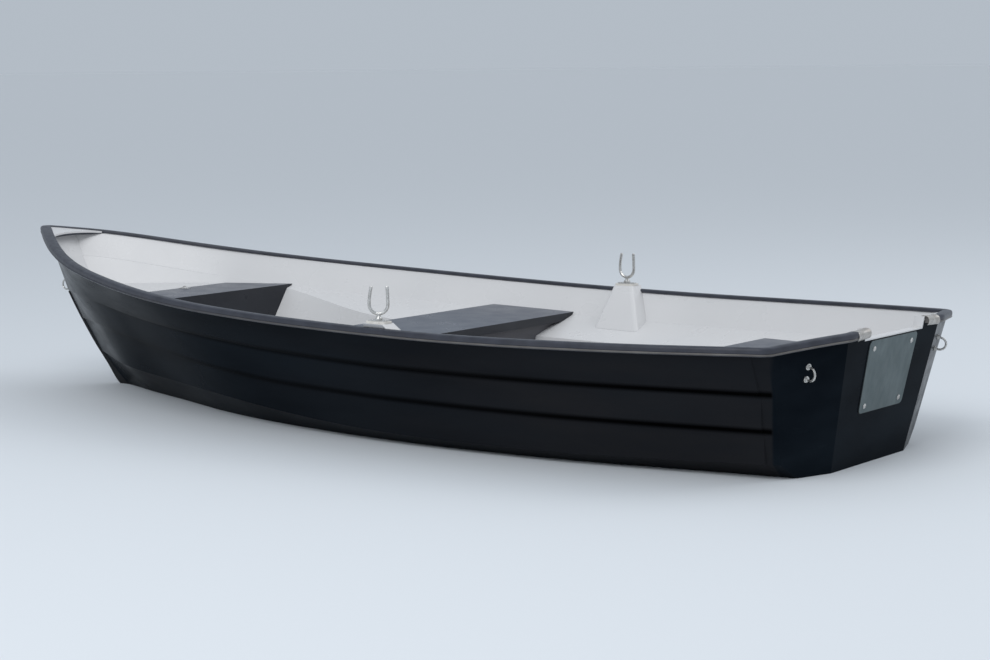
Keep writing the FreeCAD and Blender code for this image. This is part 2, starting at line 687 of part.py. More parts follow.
roof = box("pedestal_roof", "ThwartFront - 10", "-SeatHalf", "PedestalTop", "ThwartWidth + 20", "2 * SeatHalf", "60")
roof.Placement.Rotation = tilt
solid = chain("Cut", "pedestal", pedestal("pedestal_outside", "0"), pedestal("pedestal_inside", "SeatWall"), roof)
keep("thwart_pedestal", chain("Common", "pedestal", solid, well_shape))

# oarlocks with their blocks, pads and sockets
lock_x = size("OarlockAlong")
sheer_y, sheer_z = sheer_at(lock_x)
enter("OarlockSide", sheer_y - size("OarlockInboard"), "oarlock pins, distance from the centreline")
enter("BlockTop", sheer_z + size("BlockRise"), "height of the oarlock block's top")
block_blank = doc.addObject("Part::Wedge", "block_blank")
block_blank.Placement.Rotation = Rotation(Vector(1, 0, 0), 90)
bind(block_blank, {
    "Placement.Base.x": "OarlockAlong", "Placement.Base.y": "OarlockSide", "Placement.Base.z": "BlockTop",
    "Ymin": "-BlockHeight", "Ymax": "0",
    "Xmin": "-BlockFore - BlockForeFlare", "X2min": "-BlockFore",
    "Xmax": "BlockAft + BlockAftFlare", "X2max": "BlockAft",
    "Zmin": "-BlockOut", "Z2min": "-BlockOut", "Zmax": "BlockIn + BlockInFlare", "Z2max": "BlockIn",
})
doc.recompute()
# the two slanting corners on the inboard side are rounded
corners = []
for number, edge in enumerate(block_blank.Shape.Edges, 1):
    a, b = edge.Vertexes[0].Point, edge.Vertexes[-1].Point
    if abs(a.z - b.z) > 1 and min(a.y, b.y) < size("OarlockSide") - size("BlockIn") - 1:
        corners.append((number, size("BlockRound"), size("BlockRound")))
rounded = doc.addObject("Part::Fillet", "block_rounded")
rounded.Base = block_blank
rounded.Edges = corners
socket_top = "BlockTop + PadThick + SocketThick"
tube_low = "%s - PinLength - 1" % socket_top
room = round_bar("tube_room", "PinDiameter / 2 + PinClearance + TubeWall + SeamGap", "PinLength + 10", tube_low + " - 1")
fitted = chain("Common", "block", rounded, well_shape)
both("oarlock_block", chain("Cut", "block", fitted, rail_shape, room))


def lock_place(alias, lift):
    y = size("OarlockSide") - size(alias) / 2
    return Placement(Vector(lock_x, y, size("BlockTop") + lift), Rotation())


pad = plate_body("pad_plate", "PadLength", "PadLength", "PadWidth", "PadThick", "PadCorner", lock_place("PadWidth", 0))
both("oarlock_pad", chain("Cut", "pad", pad, room))
flat = plate_body("socket_plate", "SocketLength", "SocketLength", "SocketWidth", "SocketThick", "SocketCorner",
                  lock_place("SocketWidth", size("PadThick")))
tube = round_bar("socket_tube", "PinDiameter / 2 + PinClearance + TubeWall", "PinLength", tube_low)
bore = round_bar("socket_bore", "PinDiameter / 2 + PinClearance", "PinLength + 20", tube_low + " - 5")
both("oarlock_socket", chain("Cut", "socket", chain("Fuse", "socket", flat, tube), bore))

collar_low = socket_top + " + SeamGap"
pin = round_bar("oarlock_pin", "PinDiameter / 2", "PinLength + SeamGap + 1", socket_top + " - PinLength")
collar = round_bar("oarlock_collar", "CollarRadius", "CollarThick", collar_low)
neck = round_bar("oarlock_neck", "NeckRadius", "NeckHeight + HornRod / 3", collar_low + " + CollarThick - 1")
flare = doc.addObject("Part::Cone", "oarlock_flare")
lock_centre = {"Placement.Base.x": "OarlockAlong", "Placement.Base.y": "OarlockSide"}
bind(flare, dict(lock_centre, Radius1="CollarRadius - 1", Radius2="NeckRadius - 0.3", Height="0.8 * NeckHeight"))
bind(flare, {"Placement.Base.z": collar_low + " + CollarThick"})
def bar(points, radii, side, sides=10):
    # a round bar along a line of points that lies square to side, mitred at each point
    rings = []
    for n, (here, radius) in enumerate(zip(points, radii)):
        came = (here - points[max(n - 1, 0)]) if n else (points[1] - here)
        goes = (points[n + 1] - here) if n + 1 < len(points) else came
        came, goes = Vector(came).normalize(), Vector(goes).normalize()
        run = (came + goes).normalize()
        stretch = radius / max(run.dot(came), 0.5)
        up = run.cross(side)
        turns = [2 * math.pi * (k + 0.5) / sides for k in range(sides)]
        ring = [here + side * radius * math.cos(t) + up * stretch * math.sin(t) for t in turns]
        rings.append(Part.makePolygon(ring + ring[:1]))
    solid = Part.makeLoft(rings, True, True)
    if solid.Volume < 0:
        solid.reverse()
    return solid


def arc(centre, one, two, radius, start, end, steps):
    # points on a circle, angles in degrees from the direction one toward the direction two
    angles = [math.radians(start + (end - start) * k / steps) for k in range(steps + 1)]
    return [centre + one * radius * math.cos(a) + two * radius * math.sin(a) for a in angles]


# the horns are one bar: down the forward horn, round the bowl and up the aft horn
x_way, z_way = Vector(1, 0, 0), Vector(0, 0, 1)
lock_side = size("OarlockSide")
collar_z = size("BlockTop") + size("PadThick") + size("SocketThick") + size("SeamGap")
bowl_z = collar_z + size("CollarThick") + size("NeckHeight") + size("HornRod") / 2 - 1 + size("HornBelly")
bowl = Vector(lock_x, lock_side, bowl_z)
rise = collar_z - size("SeamGap") + size("HornHeight") - bowl_z
lines = []
for sweep, way in (("ForeSweep", -1), ("AftSweep", 1)):
    swing = size(sweep)
    lean_angle = math.degrees(math.asin((rise - 3) / swing))
    centre = bowl + x_way * way * (size("HornBelly") - swing)
    line = arc(centre, x_way * way, z_way, swing, 0, lean_angle, 4)
    line.append(line[-1] + (line[-1] - line[-2]).normalize() * 3)
    lines.append(line)
bottom = arc(bowl, x_way, z_way, size("HornBelly"), 180, 360, 10)
path = lines[0][::-1] + bottom[1:-1] + lines[1]
radii = [size("HornRod") / 2] * len(path)
radii[0] = radii[-1] = 0.6 * radii[0]
horns = shape_in("oarlock_horns", bar(path, radii, Vector(0, 1, 0)))
oarlock = chain("Fuse", "oarlock", pin, collar, flare, neck, horns)
keep("oarlock_starboard", oarlock)
turned = oarlock.Shape.mirror(Vector(0, 0, 0), Vector(0, 1, 0))
turned.rotate(Vector(lock_x, -lock_side, 0), z_way, size("PortTurn"))
keep("oarlock_port", shape_in("oarlock_other", turned))


# mooring eyes: a bent rod with two legs into the hull
def eye(name, centre, outward, along_legs):
    leg = size("EyeSpan") / 2
    radius = size("EyeRod") / 2
    straight = size("EyeReach") - leg - radius
    path = arc(centre + outward * straight, along_legs, outward, leg, 0, 180, 9)
    path = [centre + along_legs * leg - outward * 20] + path + [centre - along_legs * leg - outward * 20]
    return shape_in(name, bar(path, [radius] * len(path), along_legs.cross(outward)))


hull_shape = shape_in("hull_envelope", tall)
point, normal = transom_planes[1]
spot = Vector(point.x, size("SternEyeSide") * across, size("SternEyeHeight") * upright)
spot = spot - normal * (spot - point).dot(normal)
up_panel = (Vector(0, 0, 1) - normal * normal.z).normalize()
both("stern_eye", chain("Cut", "stern_eye", eye("stern_eye_rod", spot, normal, up_panel), hull_shape))
bow_z = size("BowEyeHeight") * upright
bow_spot = place(stem, 0, bow_z)
stem_line = Vector(stem.rake + 2 * stem.curl * bow_z, 0, 1).normalize()
bow_out = Vector(-stem_line.z, 0, stem_line.x)
band_shape = made[[thing.Label for thing in made].index("stem_and_keel")]
keep("bow_eye", chain("Cut", "bow_eye", eye("bow_eye_rod", bow_spot, bow_out, stem_line), hull_shape, band_shape))
keep("bow_seat_fitting", box("fitting", "BowSeatFront + 6", "70", "BowSeatTop + SeamGap", "44", "36", "11"))

doc.recompute()
faults = []
for thing in made:
    shape = thing.Shape
    bad = [state for state in thing.State if state in ("Invalid", "Error")]
    if shape.isNull() or bad or not shape.isValid() or shape.Volume <= 0:
        faults.append((thing.Label, bad, shape.isNull()))
        continue
    print(thing.Label, len(shape.Solids), round(shape.Volume), shape.isValid())
if faults:
    raise RuntimeError(faults)
os.makedirs("parts", exist_ok=True)
for thing in made:
    thing.Shape.exportStep("parts/%s.step" % thing.Label)
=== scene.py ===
import json
import math
import bmesh
import bpy
from mathutils import Matrix, Vector


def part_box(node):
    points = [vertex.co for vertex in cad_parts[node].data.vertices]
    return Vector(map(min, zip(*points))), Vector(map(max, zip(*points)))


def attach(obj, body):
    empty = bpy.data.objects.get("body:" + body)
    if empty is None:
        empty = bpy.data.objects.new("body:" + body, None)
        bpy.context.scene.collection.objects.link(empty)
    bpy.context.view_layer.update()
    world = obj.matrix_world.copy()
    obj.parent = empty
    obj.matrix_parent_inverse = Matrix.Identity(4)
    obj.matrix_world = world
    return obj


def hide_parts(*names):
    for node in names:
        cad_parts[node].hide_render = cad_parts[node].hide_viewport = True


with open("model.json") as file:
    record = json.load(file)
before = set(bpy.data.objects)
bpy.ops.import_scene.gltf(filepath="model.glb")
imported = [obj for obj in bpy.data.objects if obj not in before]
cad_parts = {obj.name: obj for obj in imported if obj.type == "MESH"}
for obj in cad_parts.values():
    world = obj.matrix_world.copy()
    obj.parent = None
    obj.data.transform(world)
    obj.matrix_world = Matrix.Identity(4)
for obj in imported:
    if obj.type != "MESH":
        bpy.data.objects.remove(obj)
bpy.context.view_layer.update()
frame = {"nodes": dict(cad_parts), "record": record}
cad = frame["nodes"]
scene = bpy.context.scene
print("frame loaded")

# the view
viewSetup = {"place": (5.262, -6.543, 1.290), "turn": 36.4, "dip": 6.674, "tilt": -0.55, "lens": 82.05}


def placeCamera(setup):
    turn, dip, tilt = (math.radians(setup[k]) for k in ("turn", "dip", "tilt"))
    back = Vector((math.sin(turn) * math.cos(dip), -math.cos(turn) * math.cos(dip), math.sin(dip)))
    right = (-back).cross(Vector((0, 0, 1))).normalized()
    up = back.cross(right)
    right, up = right * math.cos(tilt) + up * math.sin(tilt), up * math.cos(tilt) - right * math.sin(tilt)
    data = bpy.data.cameras.new("viewCamera")
    data.lens = setup["lens"]
    data.sensor_width = 36
    cam = bpy.data.objects.new("viewCamera", data)
    cam.matrix_world = Matrix.Translation(setup["place"]) @ Matrix((right, up, back)).transposed().to_4x4()
    scene.collection.objects.link(cam)
    scene.camera = cam


placeCamera(viewSetup)
print("camera placed")


# materials
def add(tree, kind, inputs=None, **settings):
    made = tree.nodes.new(kind)
    for name, value in settings.items():
        setattr(made, name, value)
    for key, value in (inputs or {}).items():
        if isinstance(value, bpy.types.NodeSocket):
            tree.links.new(value, made.inputs[key])
        else:
            made.inputs[key].default_value = value
    return made


def noise(tree, scale, stretch=(1, 1, 1), detail=4):
    spot = add(tree, "ShaderNodeTexCoord").outputs["Object"]
    spread = add(tree, "ShaderNodeMapping", {"Vector": spot, "Scale": stretch}).outputs[0]
    return add(tree, "ShaderNodeTexNoise", {"Vector": spread, "Scale": scale, "Detail": detail}).outputs[0]


def graded(tree, value, start, end, low=0.0, high=1.0):
    inputs = {"Value": value, "From Min": start, "From Max": end, "To Min": low, "To Max": high}
    return add(tree, "ShaderNodeMapRange", inputs).outputs[0]


def maths(tree, kind, first, second=0.0):
    return add(tree, "ShaderNodeMath", {0: first, 1: second}, operation=kind).outputs[0]


def mixed(tree, share, first, second):
    colours = [v if isinstance(v, bpy.types.NodeSocket) else (*v, 1) for v in (first, second)]
    return add(tree, "ShaderNodeMix", {0: share, 6: colours[0], 7: colours[1]}, data_type="RGBA").outputs[2]


def axes(tree, kind, output):
    return add(tree, "ShaderNodeSeparateXYZ", {0: add(tree, kind).outputs[output]}).outputs


def surface(name, look):
    # patches of two colours, smears of gloss and fine grain over slow waves; a tint function adds the rest
    mat = bpy.data.materials.new(name)
    mat.use_nodes = True
    tree = mat.node_tree
    shader = tree.nodes["Principled BSDF"]
    for key, value in look["fixed"].items():
        shader.inputs[key].default_value = value
    stretch = look.get("stretch", (1, 1, 1))
    patches = graded(tree, noise(tree, look["patch"], stretch), 0.35, 0.65)
    colour = mixed(tree, patches, look["dark"], look["light"])
    if "tint" in look:
        colour = look["tint"](tree, colour)
    smears = graded(tree, noise(tree, look["patch"] * 3.3, stretch, 6), 0.3, 0.7, *look["rough"])
    waves = noise(tree, look["wave"], detail=1)
    swell = add(tree, "ShaderNodeBump", {"Height": waves, "Distance": look["swell"]})
    grain = noise(tree, look["grain"], stretch, 2)
    fine = {"Height": grain, "Distance": look["depth"], "Normal": swell.outputs[0]}
    bump = add(tree, "ShaderNodeBump", fine)
    tree.links.new(colour, shader.inputs["Base Color"])
    tree.links.new(smears, shader.inputs["Roughness"])
    tree.links.new(bump.outputs[0], shader.inputs["Normal"])
    return mat


# the laps of the planks as two lines, by station: a line's x is base + rake * z + curl * z * z
planks = {
    "stations": (  # base, rake, curl, lower line's z, upper line's z
        (-1.455, -1.031, 0.494, 0.262, 0.375), (-1.370, -0.60, 0, 0.270, 0.388),
        (-1.250, -0.42, 0, 0.275, 0.393), (-0.950, -0.18, 0, 0.240, 0.360),
        (-0.550, -0.06, 0, 0.213, 0.334), (-0.100, 0, 0, 0.185, 0.307),
        (0.450, 0, 0, 0.172, 0.288), (0.820, 0, 0, 0.167, 0.284), (1.150, 0.10, 0, 0.164, 0.283),
        (1.473, 0.20, 0, 0.162, 0.283), (1.966, 0.211, 0, 0.161, 0.284)),
    "reach": 2.1,  # half the length that the lines are spread over
    "shadow": (0.0004, 0.0004, 0.0005), "edge": (0.004, 0.016),
    "fade": (-1.3, 1.5, 0.35),  # from x, to x, and how strong the line is at the first
    "lean": 0.2, "end": (1.838, 1.846),  # the quarter panels start where x - lean * z passes end
    # painted reflection: the lighter colour of the planks toward the stern, and the x range it grows over
    "paintedSheen": (0.0175, 0.0178, 0.0200), "sheenAft": (-0.3, 1.2)}


def plankShade(tree, colour):
    # painted reflection lightening the planks toward the stern, and a painted shadow line along each lap,
    # both up to the quarter panels
    x, y, z = axes(tree, "ShaderNodeTexCoord", "Object")
    reach = planks["reach"]
    along = graded(tree, x, -reach, reach)
    leaned = maths(tree, "SUBTRACT", x, maths(tree, "MULTIPLY", z, planks["lean"]))
    ahead = graded(tree, leaned, *planks["end"], 1, 0)
    # painted reflection: the planks grow lighter in smears toward the stern
    sheenAft = graded(tree, x, *planks["sheenAft"])
    smears = graded(tree, noise(tree, 3, (0.5, 1, 3), 5), 0.3, 0.7, 0.5, 1)
    paintedSheen = maths(tree, "MULTIPLY", sheenAft, smears)
    colour = mixed(tree, maths(tree, "MULTIPLY", paintedSheen, ahead), colour, planks["paintedSheen"])
    near, wide = planks["edge"]
    fore, stern, least = planks["fade"]
    for pick in (4, 3):
        line = []
        for row in planks["stations"]:
            base, rake, curl, rise = *row[:3], row[pick]
            line.append((base + rake * rise + curl * rise ** 2, rise))
        ramp = add(tree, "ShaderNodeValToRGB", {0: along})
        stops = ramp.color_ramp.elements
        for px, pz in line:
            stop = stops.new((px + reach) / (2 * reach))
            stop.color = (pz, pz, pz, 1)
        stops[0].color = (line[0][1],) * 3 + (1,)
        stops[len(stops) - 1].color = (line[-1][1],) * 3 + (1,)
        above = maths(tree, "SUBTRACT", z, ramp.outputs[0])
        lower = graded(tree, above, -wide, -near)
        band = maths(tree, "MULTIPLY", lower, graded(tree, above, near, wide, 1, 0))
        aft = graded(tree, x, fore, stern, least, 1.0)
        strength = maths(tree, "MULTIPLY", maths(tree, "MULTIPLY", band, aft), ahead)
        colour = mixed(tree, strength, colour, planks["shadow"])
    return colour


# painted highlight: the rail's side faces lighter in patches
def railSideSheen(tree, colour):
    flat = maths(tree, "ABSOLUTE", axes(tree, "ShaderNodeNewGeometry", "Normal")[2])
    side = graded(tree, flat, 0.1, 0.5, 1, 0)
    sheenPatches = graded(tree, noise(tree, 14, detail=6), 0.35, 0.6, 0.1, 0.4)
    return mixed(tree, maths(tree, "MULTIPLY", side, sheenPatches), colour, (0.050, 0.050, 0.058))


# painted highlight on the rail bead, fading to dark toward the bow
def beadHighlightFade(tree, colour):
    aft = graded(tree, axes(tree, "ShaderNodeTexCoord", "Object")[0], -1.1, 0.7)
    return mixed(tree, aft, (0.020, 0.023, 0.034), colour)


# painted sky reflection: upward faces of the seats lighter and bluer
def seatTopSheen(tree, colour):
    up = graded(tree, axes(tree, "ShaderNodeNewGeometry", "Normal")[2], 0.6, 0.95)
    return mixed(tree, up, colour, (0.056, 0.067, 0.095))


def plateStain(tree, colour):
    drips = graded(tree, noise(tree, 30, (1, 1, 0.3), 5), 0.45, 0.8, 0, 0.35)
    return mixed(tree, drips, colour, (0.075, 0.092, 0.096))


looks = {
    "navy_gelcoat": {
        "dark": (0.0035, 0.0056, 0.0086), "light": (0.0080, 0.0118, 0.0165), "patch": 2.4,
        "stretch": (0.5, 1, 2.4), "rough": (0.16, 0.28), "grain": 300, "depth": 0.00003,
        "wave": 3.5, "swell": 0.0035, "tint": plankShade, "fixed": {"Specular IOR Level": 0.012}},
    "dark_trim": {
        "dark": (0.003, 0.0035, 0.005), "light": (0.007, 0.0075, 0.009), "patch": 9, "rough": (0.28, 0.42),
        "grain": 300, "depth": 0.00005, "wave": 20, "swell": 0.0004, "fixed": {"Specular IOR Level": 0.2}},
    "white_gelcoat": {
        "dark": (0.595, 0.60, 0.61), "light": (0.63, 0.632, 0.64), "patch": 1.6, "rough": (0.24, 0.34),
        "grain": 60, "depth": 0.00012, "wave": 7, "swell": 0.002, "fixed": {"Specular IOR Level": 0.5}},
    "rail_rubber": {
        "dark": (0.024, 0.027, 0.038), "light": (0.038, 0.042, 0.058), "patch": 18, "rough": (0.34, 0.46),
        "grain": 600, "depth": 0.00008, "wave": 30, "swell": 0.0004,
        "tint": railSideSheen, "fixed": {"Specular IOR Level": 0.35}},
    # the rail bead's lighter colour is a painted highlight
    "rail_bead_highlight": {
        "dark": (0.085, 0.080, 0.078), "light": (0.13, 0.125, 0.12), "patch": 11, "rough": (0.3, 0.45),
        "grain": 600, "depth": 0.00006, "wave": 30, "swell": 0.0003,
        "tint": beadHighlightFade, "fixed": {"Specular IOR Level": 0.35}},
    "pad_nylon": {
        "dark": (0.62, 0.60, 0.56), "light": (0.70, 0.685, 0.65), "patch": 45, "rough": (0.35, 0.5),
        "grain": 500, "depth": 0.00008, "wave": 50, "swell": 0.0003, "fixed": {"Specular IOR Level": 0.5}},
    "grey_plastic": {
        "dark": (0.34, 0.32, 0.30), "light": (0.48, 0.465, 0.44), "patch": 40, "rough": (0.24, 0.38),
        "grain": 500, "depth": 0.00006, "wave": 60, "swell": 0.0003, "fixed": {"Metallic": 0.35}},
    "grey_gelcoat": {
        "dark": (0.019, 0.021, 0.027), "light": (0.026, 0.029, 0.037), "patch": 4, "rough": (0.27, 0.35),
        "grain": 420, "depth": 0.00008, "wave": 5, "swell": 0.0012,
        "tint": seatTopSheen, "fixed": {"Specular IOR Level": 0.25}},
    # the seats' grey made lighter for the thwart's pedestal: painted bounce light
    "pedestal_bounce_lit": {
        "dark": (0.070, 0.070, 0.080), "light": (0.092, 0.092, 0.104), "patch": 4, "rough": (0.3, 0.4),
        "grain": 420, "depth": 0.00008, "wave": 5, "swell": 0.0012, "fixed": {"Specular IOR Level": 0.3}},
    "brushed_plate": {
        "dark": (0.095, 0.125, 0.130), "light": (0.120, 0.152, 0.157), "patch": 12, "stretch": (1, 1, 0.5),
        "rough": (0.34, 0.5), "grain": 300, "depth": 0.00006, "wave": 9, "swell": 0.0006,
        "tint": plateStain, "fixed": {"Metallic": 0.8}},
    "stainless": {
        "dark": (0.50, 0.49, 0.47), "light": (0.68, 0.67, 0.65), "patch": 90, "rough": (0.20, 0.34),
        "grain": 700, "depth": 0.00003, "wave": 80, "swell": 0.0002, "fixed": {"Metallic": 0.8}},
}
mats = {slot: surface(slot, look) for slot, look in looks.items()}
slots = {row["node"]: row["material_slot"] for row in frame["record"]["subparts"]}
# the thwart's pedestal takes the lighter grey of painted bounce light
special = {"oarlock_pad": "pad_nylon", "thwart": "pedestal_bounce_lit"}  # by a name without its last word
crease = {"node": 22, "piece": 30}  # an edge that turns by more degrees is sharp
for name, part in cad.items():
    part.data.materials.clear()
    part.data.materials.append(mats[special.get(name.rsplit("_", 1)[0], slots[name])])
    for face in part.data.polygons:
        face.use_smooth = True
    part.data.set_sharp_from_angle(angle=math.radians(crease["node"]))
print("materials on", len(cad), "nodes")


# detail pieces
def finished(name, bm, slot, stands=()):
    mesh = bpy.data.meshes.new(name)
    bmesh.ops.recalc_face_normals(bm, faces=bm.faces)
    bm.to_mesh(mesh)
    bm.free()
    mesh.materials.append(mats[slot])
    for face in mesh.polygons:
        face.use_smooth = True
    mesh.set_sharp_from_angle(angle=math.radians(crease["piece"]))
    piece = bpy.data.objects.new(name, mesh)
    scene.collection.objects.link(piece)
    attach(piece, "boat")
    if stands:
        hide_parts(*stands)
    return piece


def turned(bm, profile, spot, axis, hexed=(), count=24):
    # a profile of radius and height turned about an axis at spot; rings listed in hexed have six sides
    aim = Vector(axis).to_track_quat("Z", "Y").to_matrix()
    sixth = math.pi / 3
    rings = []
    for index, (radius, height) in enumerate(profile):
        ring = []
        for step in range(count):
            angle = math.tau * step / count
            reach = radius
            if index in hexed:
                reach *= math.cos(sixth / 2) / math.cos((angle + sixth / 2) % sixth - sixth / 2)
            corner = Vector((reach * math.cos(angle), reach * math.sin(angle), height))
            ring.append(bm.verts.new(Vector(spot) + aim @ corner))
        rings.append(ring)
    for low, high in zip(rings, rings[1:]):
        for step in range(count):
            after = (step + 1) % count
            bm.faces.new((low[step], low[after], high[after], high[step]))
    bm.faces.new(rings[0])
    bm.faces.new(rings[-1])


def swept(bm, rings, loop=False, marks=()):
    # joins rings of points into a tube, closed end to end or capped; marks name sides of a second material
    made = [[bm.verts.new(p) for p in ring] for ring in rings]
    count = len(made[0])
    pairs = list(zip(made, made[1:]))
    if loop:
        pairs.append((made[-1], made[0]))
    for low, high in pairs:
        for step in range(count):
            after = (step + 1) % count
            side = bm.faces.new((low[step], low[after], high[after], high[step]))
            side.material_index = 1 if step in marks else 0
    if not loop:
        bm.faces.new(made[0])
        bm.faces.new(made[-1])


# the transom plate, from its mount: places on it are across and up from the middle of its foot
domeHead = ((0.0088, 0.0), (0.0088, 0.0008), (0.0082, 0.0012), (0.0066, 0.0012), (0.0064, 0.0022),
            (0.0054, 0.0033), (0.0038, 0.0040), (0.0029, 0.0040), (0.0027, 0.0020), (0.0010, 0.0016))
plate = {
    "mount": "motor_plate_face", "tall": 0.243, "footHalf": 0.151, "topHalf": 0.1675, "corner": 0.016,
    "face": 0.0033, "screws": ((0.131, 0.2155), (0.120, 0.023)),
    "shadowRing": ((-0.003, 0.0002), (0.0006, 0.0014), (0.0022, 0.0008), (0.0022, 0.0002))}  # out, proud
mount = next(row for row in frame["record"]["mounts"] if row["name"] == plate["mount"])
plateAft = Vector(mount["axis"]).normalized()
plateRise = Vector((-plateAft.z, 0, plateAft.x))
plateFoot = Vector(mount["pos_m"]) - plateRise * plate["tall"] / 2 - plateAft * plate["face"]


def onPlate(y, rise, proud):
    return plateFoot + plateRise * rise + plateAft * proud + Vector((0, y, 0))


screws = bmesh.new()
for y, rise in plate["screws"]:
    for side in (-1, 1):
        turned(screws, domeHead, onPlate(side * y, rise, plate["face"]), plateAft, hexed=(8, 9))
finished("plateScrews", screws, "stainless")


def roundedOutline(corners, radius, grow):
    # a rounded outline of straight runs and eight-step corners, moved outwards by grow
    path = []
    count = len(corners)
    for index in range(count):
        here = Vector(corners[index])
        before = (Vector(corners[index - 1]) - here).normalized()
        after = (Vector(corners[(index + 1) % count]) - here).normalized()
        half = before.angle(after) / 2
        centre = here + (before + after).normalized() * (radius / math.sin(half))
        start = here + before * (radius / math.tan(half)) - centre
        end = here + after * (radius / math.tan(half)) - centre
        for step in range(9):
            reach = start.lerp(end, step / 8).normalized() * (radius + grow)
            path.append(centre + reach)
    return path


# a dark ring round the plate's edge stands in for the shade there: painted shadow
shadowRing = bmesh.new()
foot, top, tall = plate["footHalf"], plate["topHalf"], plate["tall"]
outline = ((-foot, 0), (foot, 0), (top, tall), (-top, tall))
edges = []
for grow, proud in plate["shadowRing"]:
    edges.append([onPlate(p.x, p.y, proud) for p in roundedOutline(outline, plate["corner"], grow)])
swept(shadowRing, list(zip(*edges)), loop=True)
finished("plateShadowRing", shadowRing, "dark_trim")
print("plate screws and gasket")

# two nuts on washers at each eye, square to the stem or to the quarter panel
washerNut = ((0.0105, 0.0), (0.0105, 0.0012), (0.0101, 0.0015), (0.0072, 0.0015), (0.0076, 0.0020),
             (0.0076, 0.0058), (0.0070, 0.0064), (0.0044, 0.0066))
eyes = {
    "span": 0.041, "bow": (-1.7896, 0, 0.402), "stemOut": (-0.845, 0, -0.535),
    "stern": (1.9611, 0.4524, 0.3445), "quarterAngle": 19.4, "rake": 0.211, "spread": 0.145}
quarter = math.tan(math.radians(eyes["quarterAngle"]))
under = -eyes["rake"] - quarter * eyes["spread"]
x, y, z = eyes["stern"]
spots = []
for label, side in (("port", -1), ("starboard", 1)):
    spots.append(("stern_eye_" + label, (x, side * y, z), (1, side * quarter, under)))
spots.append(("bow_eye", eyes["bow"], eyes["stemOut"]))
for name, centre, out in spots:
    out = Vector(out).normalized()
    rise = (Vector((0, 0, 1)) - out * out.z).normalized()
    nuts = bmesh.new()
    for side in (-1, 1):
        turned(nuts, washerNut, Vector(centre) + rise * eyes["span"] / 2 * side, out, hexed=(4, 5, 6))
    finished(name + "_nuts", nuts, "stainless")
print("eye nuts")

# two screws in each oarlock socket's flange
sunkHead = ((0.0050, -0.0004), (0.0050, 0.0004), (0.0042, 0.0009), (0.0024, 0.0011), (0.0022, 0.0004),
            (0.0008, 0.0002))
socketScrews = {"reach": 0.0285}
for label in ("port", "starboard"):
    low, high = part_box("oarlock_socket_" + label)
    heads = bmesh.new()
    for end in (-1, 1):
        spot = ((low.x + high.x) / 2 + end * socketScrews["reach"], (low.y + high.y) / 2, high.z)
        turned(heads, sunkHead, spot, (0, 0, 1), hexed=(4, 5))
    finished("socketScrews_" + label, heads, "stainless")
print("socket screws")

# the rub rail: a section swept round the liner's rim. The nose and the corner are rounded through listed
# points, and the rest is found on planes across the boat at the stations, then on planes along it at the
# half widths
rail = {
    "nose": (
        (-1.909, 0.0, 0.6288), (-1.905, 0.012, 0.6285), (-1.893, 0.0230, 0.6274), (-1.880, 0.0340, 0.6260),
        (-1.860, 0.0503, 0.6237)),
    "stations": (
        -1.84, -1.82, -1.79, -1.76, -1.73, -1.70, -1.65, -1.60, -1.55, -1.50, -1.45, -1.40, -1.30, -1.20,
        -1.10, -0.90, -0.70, -0.50, -0.30, 0.0, 0.25, 0.50, 0.75, 1.00, 1.15, 1.30, 1.40, 1.50, 1.60, 1.75,
        1.80, 1.86),
    "corner": ((1.885, 0.6470, 0.4279), (1.902, 0.6405, 0.4280), (1.915, 0.6300, 0.4282)),
    "halfWidths": (0.62, 0.60, 0.56, 0.52, 0.48, 0.44, 0.40, 0.36, 0.333, 0.321, 0.306, 0.284),
    "section": (  # out and up from the rim's outer top edge, in mm
        (-24.1, -1.6), (-24.1, 5.5), (-22.6, 8.7), (-18.5, 10.5), (-6.0, 10.9), (2.0, 10.2), (6.4, 7.8),
        (8.7, 3.4), (9.3, -2.0), (8.8, -6.8), (7.2, -8.6), (8.6, -9.8), (9.3, -11.6), (9.0, -13.6),
        (7.6, -15.2), (5.5, -17.0), (0.6, -18.0), (0.5, 0.5), (-12.4, 0.5), (-12.4, -1.6)),
    "bead": (10, 11, 12, 13),  # sides of the section in the lighter colour, a painted highlight
    "outer": 1, "inner": -12,  # mm: where the section's outer face and its inner leg begin
    "fat": 0.011, "fatAlong": (-1.2, -1.6),  # the outer face stands further out toward the bow
    "shift": 0.0071, "shiftAlong": (1.86, 1.92),  # the whole section moves out along the transom,
    "legRise": 0.6,  # and its inner leg ends this many mm above the rim there
    "rimDepth": 0.03, "sternFrom": 1.7, "runParts": 3}


def eased(points, parts):
    # a smooth line through the points, each run cut into parts
    line = []
    last = len(points) - 1
    for index in range(last):
        p0, p1, p2, p3 = (Vector(points[min(max(index + k, 0), last)]) for k in (-1, 0, 1, 2))
        for step in range(parts):
            t = step / parts
            line.append(0.5 * (2 * p1 + (p2 - p0) * t + (2 * p0 - 5 * p1 + 4 * p2 - p3) * t * t
                               + (3 * p1 - p0 - 3 * p2 + p3) * t ** 3))
    line.append(Vector(points[last]))
    return line


def cutsAt(node, axis, spot):
    # the points where a plane across one axis cuts a node's edges
    mesh = cad[node].data
    cuts = []
    for edge in mesh.edges:
        one, two = (mesh.vertices[k].co for k in edge.vertices)
        if (one[axis] - spot) * (two[axis] - spot) < 0:
            cuts.append(one.lerp(two, (spot - one[axis]) / (two[axis] - one[axis])))
    return cuts


def rimAt(axis, spot):
    # the outer top edge of the liner's starboard half, where a plane cuts it
    cuts = [cut for cut in cutsAt("liner", axis, spot) if cut.y > 0]
    if axis == 1:
        cuts = [cut for cut in cuts if cut.x > rail["sternFrom"]]
    top = max(cut.z for cut in cuts)
    reach = max(cut[1 - axis] for cut in cuts if cut.z > top - rail["rimDepth"])
    return Vector((spot, reach, top) if axis == 0 else (reach, spot, top))


def partWay(value, start, end):
    # 0 before start, 1 past end, and even between
    return min(1.0, max(0.0, (value - start) / (end - start)))


